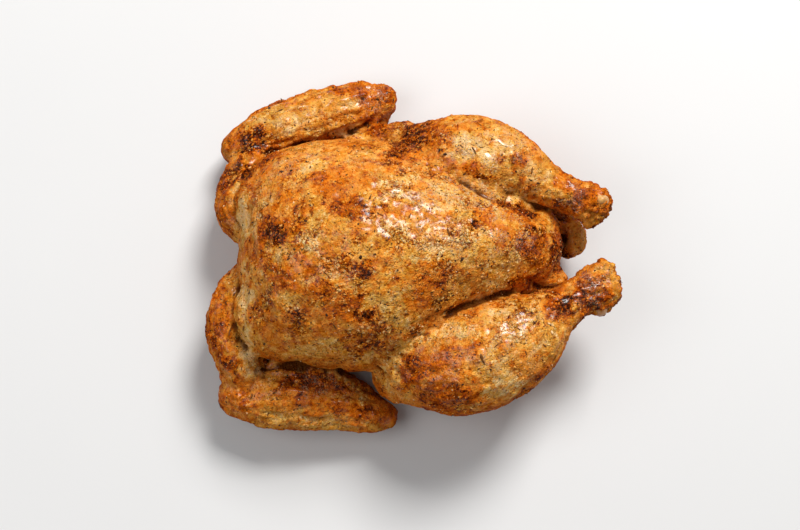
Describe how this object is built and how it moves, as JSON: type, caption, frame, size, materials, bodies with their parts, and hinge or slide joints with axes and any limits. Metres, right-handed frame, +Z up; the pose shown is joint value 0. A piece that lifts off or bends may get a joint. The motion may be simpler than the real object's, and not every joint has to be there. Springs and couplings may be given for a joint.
{
  "type": "whole roast chicken",
  "caption": "Whole roast chicken lying breast up, with untied drumsticks, wings folded back and herb-seasoned browned skin.",
  "frame": {"origin": "on the surface it rests on, under the centre of the bounding box", "axes": "+X from neck to tail along the bird's length, +Y towards the bird's left side, +Z up through the breast"},
  "size_m": [0.2346, 0.2044, 0.1015],
  "materials": {
    "roasted_skin": "greasy satin, mottled golden to dark brown",
    "bare_bone": "dull, ivory to tan",
    "dried_herbs": "dry, dark olive brown",
    "ground_spice": "dry, reddish brown to pale"
  },
  "bodies": {
    "root": {"roast_chicken": "roasted_skin"}
  },
  "joints": []
}
